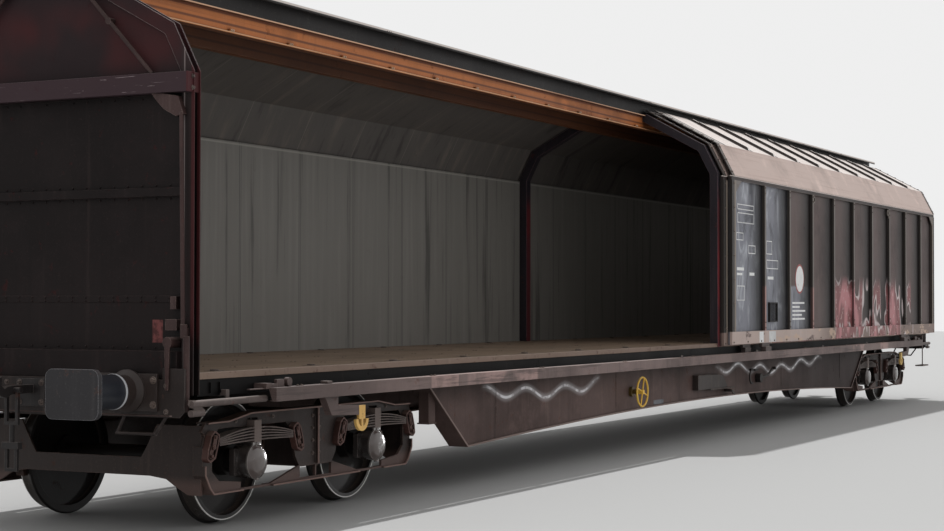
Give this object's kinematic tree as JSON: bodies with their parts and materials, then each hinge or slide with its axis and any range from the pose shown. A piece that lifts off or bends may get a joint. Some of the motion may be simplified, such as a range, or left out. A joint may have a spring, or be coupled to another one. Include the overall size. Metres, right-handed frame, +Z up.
{
  "type": "sliding-wall covered bogie wagon",
  "caption": "Long covered freight wagon on two bogies, with sliding side walls that carry the roof, one of them slid open over its neighbour to bare half the load space.",
  "frame": {"origin": "mid-length, on the centre line, at the tips of the wheel flanges, 28 mm below the rail top", "axes": "+X along the wagon away from the open half, -Y to the side with the open wall, +Z up"},
  "size_m": [23.24, 3, 4.2279],
  "materials": {
    "underframe": "weathered matt",
    "girder": "weathered matt",
    "deck": "worn boards with a steel edge",
    "end_wall": "weathered matt",
    "hoop": "primer red, matt",
    "ridge_beam": "rusted",
    "ridge_cap": "weathered matt",
    "wall": "weathered satin",
    "roof": "weathered satin",
    "gear": "worn matt",
    "rail": "worn matt",
    "yellow": "worn gloss",
    "buffer": "greased",
    "step": "worn matt",
    "bogie": "rusty matt",
    "axle_box": "dusty",
    "spring": "rusty",
    "link": "rusty",
    "brake": "rusty",
    "wheel": "rusty with a bright tread"
  },
  "bodies": {
    "carbody": {"centre_sill": "underframe", "cross_members": "underframe", "side_girder_far": "girder", "side_girder_near": "girder", "headstock_a": "underframe", "headstock_b": "underframe", "deck": "deck", "end_wall_a": "end_wall", "end_wall_b": "end_wall", "middle_hoop": "hoop", "ridge_beam": "ridge_beam", "ridge_cap": "ridge_cap", "wall_far_right_side": "wall", "wall_far_right_roof": "roof", "wall_far_left_side": "wall", "wall_far_left_roof": "roof", "wall_near_right_side": "wall", "wall_near_right_roof": "roof", "wall_near_slid_side": "wall", "wall_near_slid_roof": "roof", "carriages_far": "gear", "carriages_near": "gear", "guide_rail_far": "rail", "guide_rail_near": "rail", "lift_shaft_far": "gear", "lift_shaft_near": "gear", "rope_hook_arms": "gear", "rope_hooks": "yellow", "buffers_a": "buffer", "buffers_b": "buffer", "draw_gear_a": "buffer", "draw_gear_b": "buffer", "wall_levers_a": "gear", "wall_levers_b": "gear", "corner_steps": "step", "handwheels": "yellow", "changeovers": "gear", "brake_cylinder": "underframe", "air_reservoir": "underframe"},
    "bogie_a": {"bogie_a_frame": "bogie", "bogie_a_axle_boxes": "axle_box", "bogie_a_springs": "spring", "bogie_a_links": "link", "bogie_a_brakes": "brake"},
    "wheelset_a1": {"wheelset_a1": "wheel"},
    "wheelset_a2": {"wheelset_a2": "wheel"},
    "bogie_b": {"bogie_b_frame": "bogie", "bogie_b_axle_boxes": "axle_box", "bogie_b_springs": "spring", "bogie_b_links": "link", "bogie_b_brakes": "brake"},
    "wheelset_b1": {"wheelset_b1": "wheel"},
    "wheelset_b2": {"wheelset_b2": "wheel"}
  },
  "joints": [
    {"name": "bogie_a_swivel", "type": "hinge", "parent": "carbody", "child": "bogie_a", "pos_m": [-8.85, 0, 0.874], "axis": [0, 0, 1], "range_deg": [-6.8, 6.8]},
    {"name": "wheelset_a1_roll", "type": "hinge", "parent": "bogie_a", "child": "wheelset_a1", "pos_m": [-9.75, 0, 0.488], "axis": [0, 1, 0], "continuous": true},
    {"name": "wheelset_a2_roll", "type": "hinge", "parent": "bogie_a", "child": "wheelset_a2", "pos_m": [-7.95, 0, 0.488], "axis": [0, 1, 0], "continuous": true},
    {"name": "bogie_b_swivel", "type": "hinge", "parent": "carbody", "child": "bogie_b", "pos_m": [8.85, 0, 0.874], "axis": [0, 0, 1], "range_deg": [-6.8, 6.8]},
    {"name": "wheelset_b1_roll", "type": "hinge", "parent": "bogie_b", "child": "wheelset_b1", "pos_m": [7.95, 0, 0.488], "axis": [0, 1, 0], "continuous": true},
    {"name": "wheelset_b2_roll", "type": "hinge", "parent": "bogie_b", "child": "wheelset_b2", "pos_m": [9.75, 0, 0.488], "axis": [0, 1, 0], "continuous": true}
  ]
}
